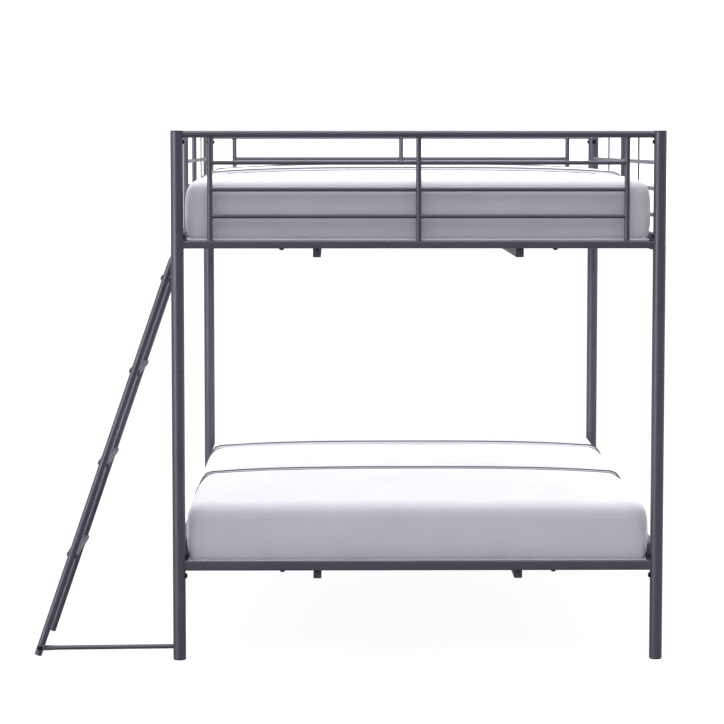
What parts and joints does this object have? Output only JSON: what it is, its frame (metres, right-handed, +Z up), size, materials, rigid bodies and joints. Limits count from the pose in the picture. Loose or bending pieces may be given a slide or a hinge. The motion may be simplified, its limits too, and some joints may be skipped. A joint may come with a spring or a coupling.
{
  "type": "bunk bed with ladder",
  "caption": "Full-over-full metal bunk bed: round posts, barred guards around the top bunk, slat decks, two mattresses and a leaning ladder braced to one post.",
  "frame": {"origin": "on the floor, under the middle of the whole object's box, ladder included", "axes": "+Z up; +Y along the bed, from the ladder end to the other end; +X across the bed, away from the ladder"},
  "size_m": [1.8814, 1.973, 1.575],
  "materials": {
    "painted_steel": "satin",
    "black_plastic": "satin",
    "mattress_fabric": "matte"
  },
  "bodies": {
    "frame": {"back_guard_bar_1": "painted_steel", "back_guard_bar_2": "painted_steel", "back_guard_bar_3": "painted_steel", "back_guard_strap_front": "painted_steel", "back_guard_strap_rear": "painted_steel", "back_guard_top_tube": "painted_steel", "back_guard_upright_middle": "painted_steel", "entry_guard_bar_1": "painted_steel", "entry_guard_bar_2": "painted_steel", "entry_guard_bar_3": "painted_steel", "entry_guard_strap_rear": "painted_steel", "entry_guard_top_tube": "painted_steel", "entry_guard_upright_end": "painted_steel", "entry_guard_upright_middle": "painted_steel", "front_guard_bar_1": "painted_steel", "front_guard_bar_2": "painted_steel", "front_guard_bar_3": "painted_steel", "front_guard_upright_left": "painted_steel", "front_guard_upright_middle": "painted_steel", "front_guard_upright_right": "painted_steel", "front_rail_lower": "painted_steel", "front_rail_upper": "painted_steel", "front_top_tube": "painted_steel", "ladder_brace": "painted_steel", "ladder_rail_front": "painted_steel", "ladder_rail_rear": "painted_steel", "ladder_tread_1": "painted_steel", "ladder_tread_2": "painted_steel", "ladder_tread_3": "painted_steel", "ladder_tread_4": "painted_steel", "lower_post_front_left": "painted_steel", "lower_post_front_right": "painted_steel", "lower_post_rear_left": "painted_steel", "lower_post_rear_right": "painted_steel", "post_cap_front_left": "black_plastic", "post_cap_front_right": "black_plastic", "post_cap_rear_left": "black_plastic", "post_cap_rear_right": "black_plastic", "rear_guard_bar_1": "painted_steel", "rear_guard_bar_2": "painted_steel", "rear_guard_bar_3": "painted_steel", "rear_guard_upright_left": "painted_steel", "rear_guard_upright_middle": "painted_steel", "rear_guard_upright_right": "painted_steel", "rear_rail_lower": "painted_steel", "rear_rail_upper": "painted_steel", "rear_top_tube": "painted_steel", "side_rail_lower_left": "painted_steel", "side_rail_lower_right": "painted_steel", "side_rail_upper_left": "painted_steel", "side_rail_upper_right": "painted_steel", "slat_deck_lower": "painted_steel", "slat_deck_upper": "painted_steel", "upper_post_front_left": "painted_steel", "upper_post_front_right": "painted_steel", "upper_post_rear_left": "painted_steel", "upper_post_rear_right": "painted_steel"},
    "mattress_upper_body": {"mattress_upper": "mattress_fabric"},
    "mattress_lower_body": {"mattress_lower": "mattress_fabric"}
  },
  "joints": [
    {"name": "upper_mattress_lift", "type": "slide", "parent": "frame", "child": "mattress_upper_body", "axis": [0, 0, 1], "range_m": [0, 0.4]},
    {"name": "lower_mattress_lift", "type": "slide", "parent": "frame", "child": "mattress_lower_body", "axis": [0, 0, 1], "range_m": [0, 0.45]}
  ]
}
